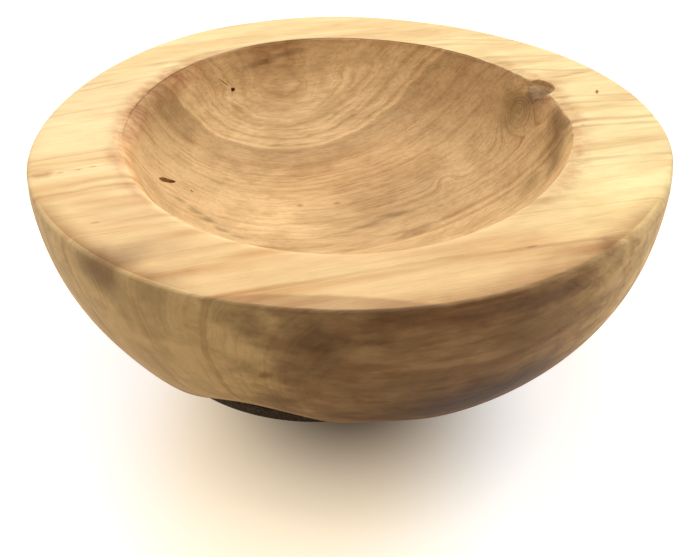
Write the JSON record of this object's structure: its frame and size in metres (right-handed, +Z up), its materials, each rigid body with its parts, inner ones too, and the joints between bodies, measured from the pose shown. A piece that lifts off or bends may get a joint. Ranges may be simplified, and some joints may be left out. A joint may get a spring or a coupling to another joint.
{
  "type": "wooden bowl",
  "caption": "Thick round hand-hewn wooden bowl with a wide flat rim, a smooth deep hollow and a flat foot on a thin cork disc, for fruit or display on a table.",
  "frame": {"origin": "on the table top, under the middle of the rim's outline", "axes": "+Z up out of the hollow, -Y towards the front, the side with the flatter lower left, +X to the right as seen from the front"},
  "size_m": [0.3004, 0.3004, 0.112],
  "materials": {
    "hewn_wood": "sanded and lightly oiled, browner in the hollow and on the belly than on the rim",
    "dark_cork": "dark pressed cork, matt"
  },
  "bodies": {
    "root": {"bowl_body": "hewn_wood", "cork_base": "dark_cork"}
  },
  "joints": []
}
